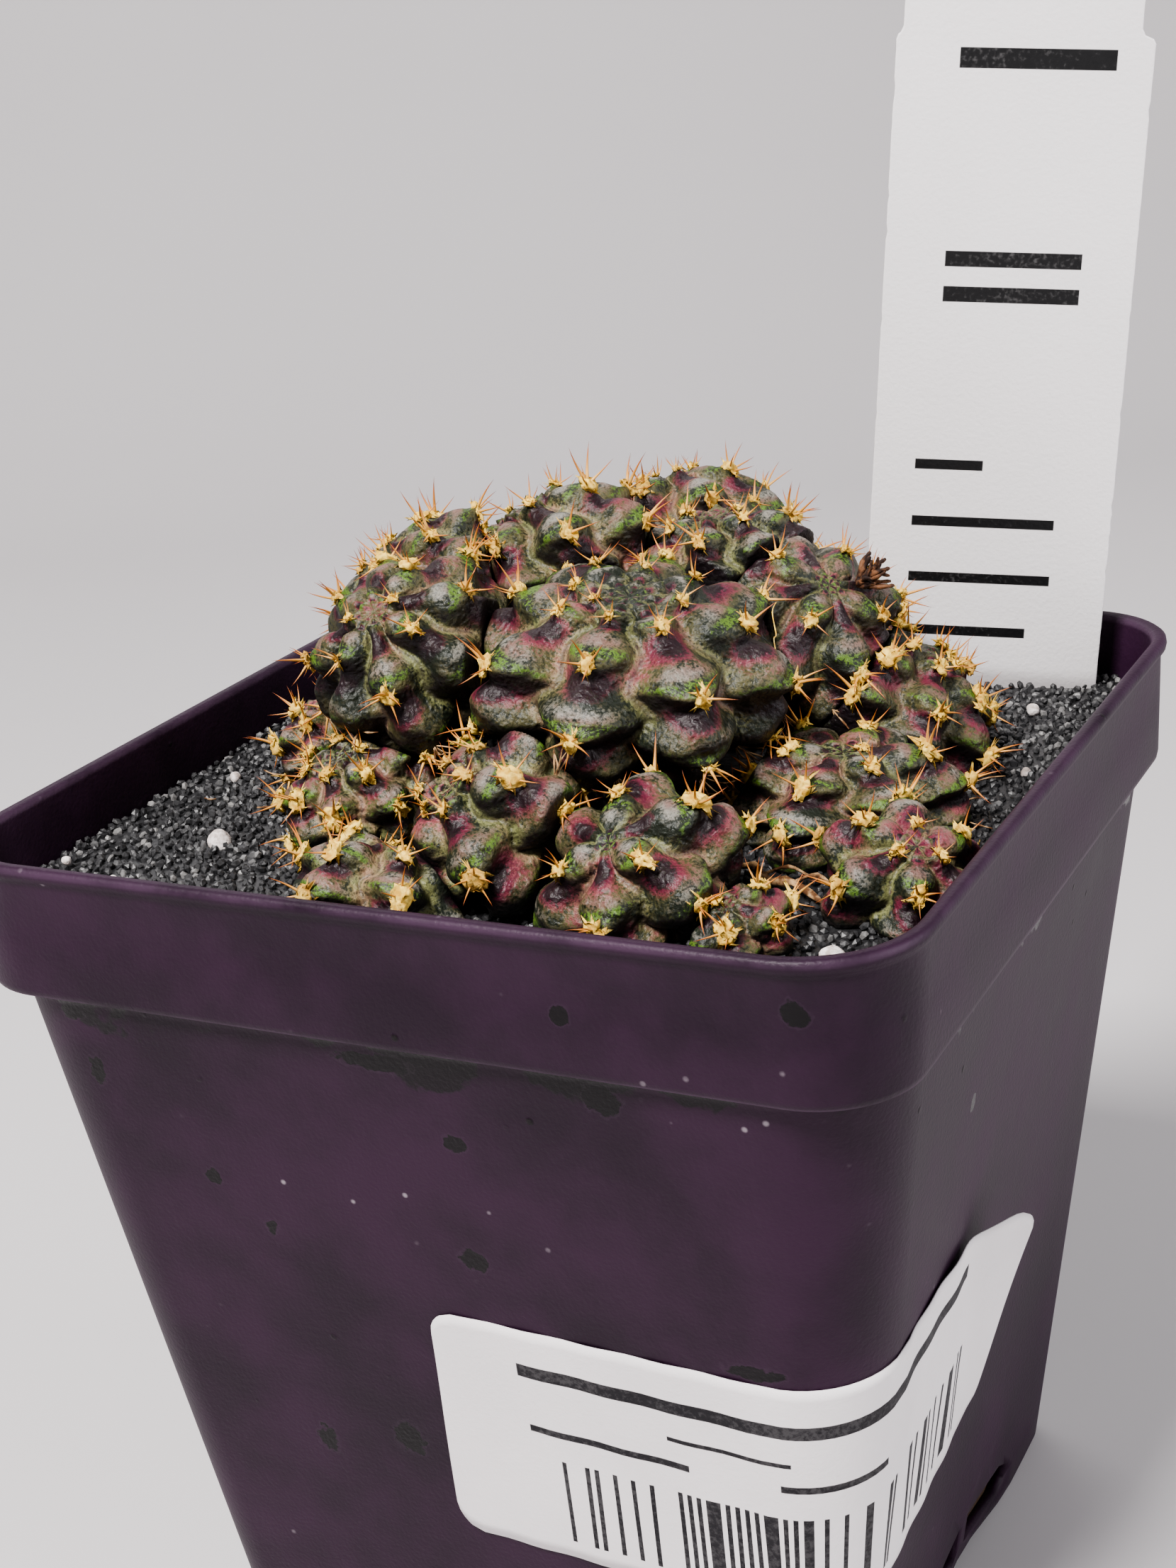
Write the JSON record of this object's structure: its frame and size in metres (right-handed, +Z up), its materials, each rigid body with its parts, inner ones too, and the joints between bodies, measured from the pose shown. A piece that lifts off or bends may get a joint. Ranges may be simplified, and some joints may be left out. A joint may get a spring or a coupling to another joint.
{
  "type": "potted gymnocalycium mihanovichii",
  "caption": "Clump of small ribbed chin cactus heads with short spines in a square black nursery pot, with grit on the soil, a white plant tag and a paper sticker.",
  "frame": {"origin": "on the ground under the middle of the pot", "axes": "+Z up; -Y is the pot's front face, where the sticker begins; +X is its right face, where the sticker ends; the tag stands in the +X +Y corner"},
  "size_m": [0.096, 0.096, 0.1701],
  "materials": {
    "pot_plastic": "thin near-black polypropylene with a faint plum tint, satin, dusty and water-spotted",
    "potting_mix": "dark damp bark and peat, matte",
    "grit": "black coarse grit with grey and white grains, matte with small glints",
    "tag_plastic": "smooth white plastic strip with plain printed lines",
    "sticker_paper": "uncoated white label paper with plain printed lines and a bar pattern",
    "flesh_sage": "living skin, grey-green with dull purple creases, finely wrinkled, semi-gloss",
    "flesh_red_brown": "living skin, red-brown and green, finely wrinkled, semi-gloss",
    "flesh_olive": "living skin, olive green with crimson hollows, semi-gloss",
    "flesh_crimson": "living skin, crimson and dark green, semi-gloss",
    "flesh_pale_green": "living skin, pale green with red hollows, semi-gloss"
  },
  "bodies": {
    "root": {"pot": "pot_plastic", "potting_mix": "potting_mix", "sand_top_dressing": "grit", "plant_tag": "tag_plastic", "sticker": "sticker_paper", "stem_front": "flesh_sage", "stem_left": "flesh_red_brown", "stem_right": "flesh_olive", "stem_crown_left": "flesh_crimson", "stem_crown_right": "flesh_pale_green", "stem_crown_back": "flesh_sage", "stem_left_back": "flesh_red_brown", "stem_back_left": "flesh_olive", "stem_back_right": "flesh_crimson", "offset_front_left": "flesh_pale_green", "offset_front": "flesh_sage", "offset_left": "flesh_red_brown", "offset_corner_left": "flesh_olive", "offset_right": "flesh_crimson", "offset_right_back": "flesh_pale_green", "offset_corner_right": "flesh_sage", "offset_small_front": "flesh_red_brown", "offset_back": "flesh_olive", "offset_back_left": "flesh_crimson", "offset_small_left": "flesh_pale_green"}
  },
  "joints": []
}
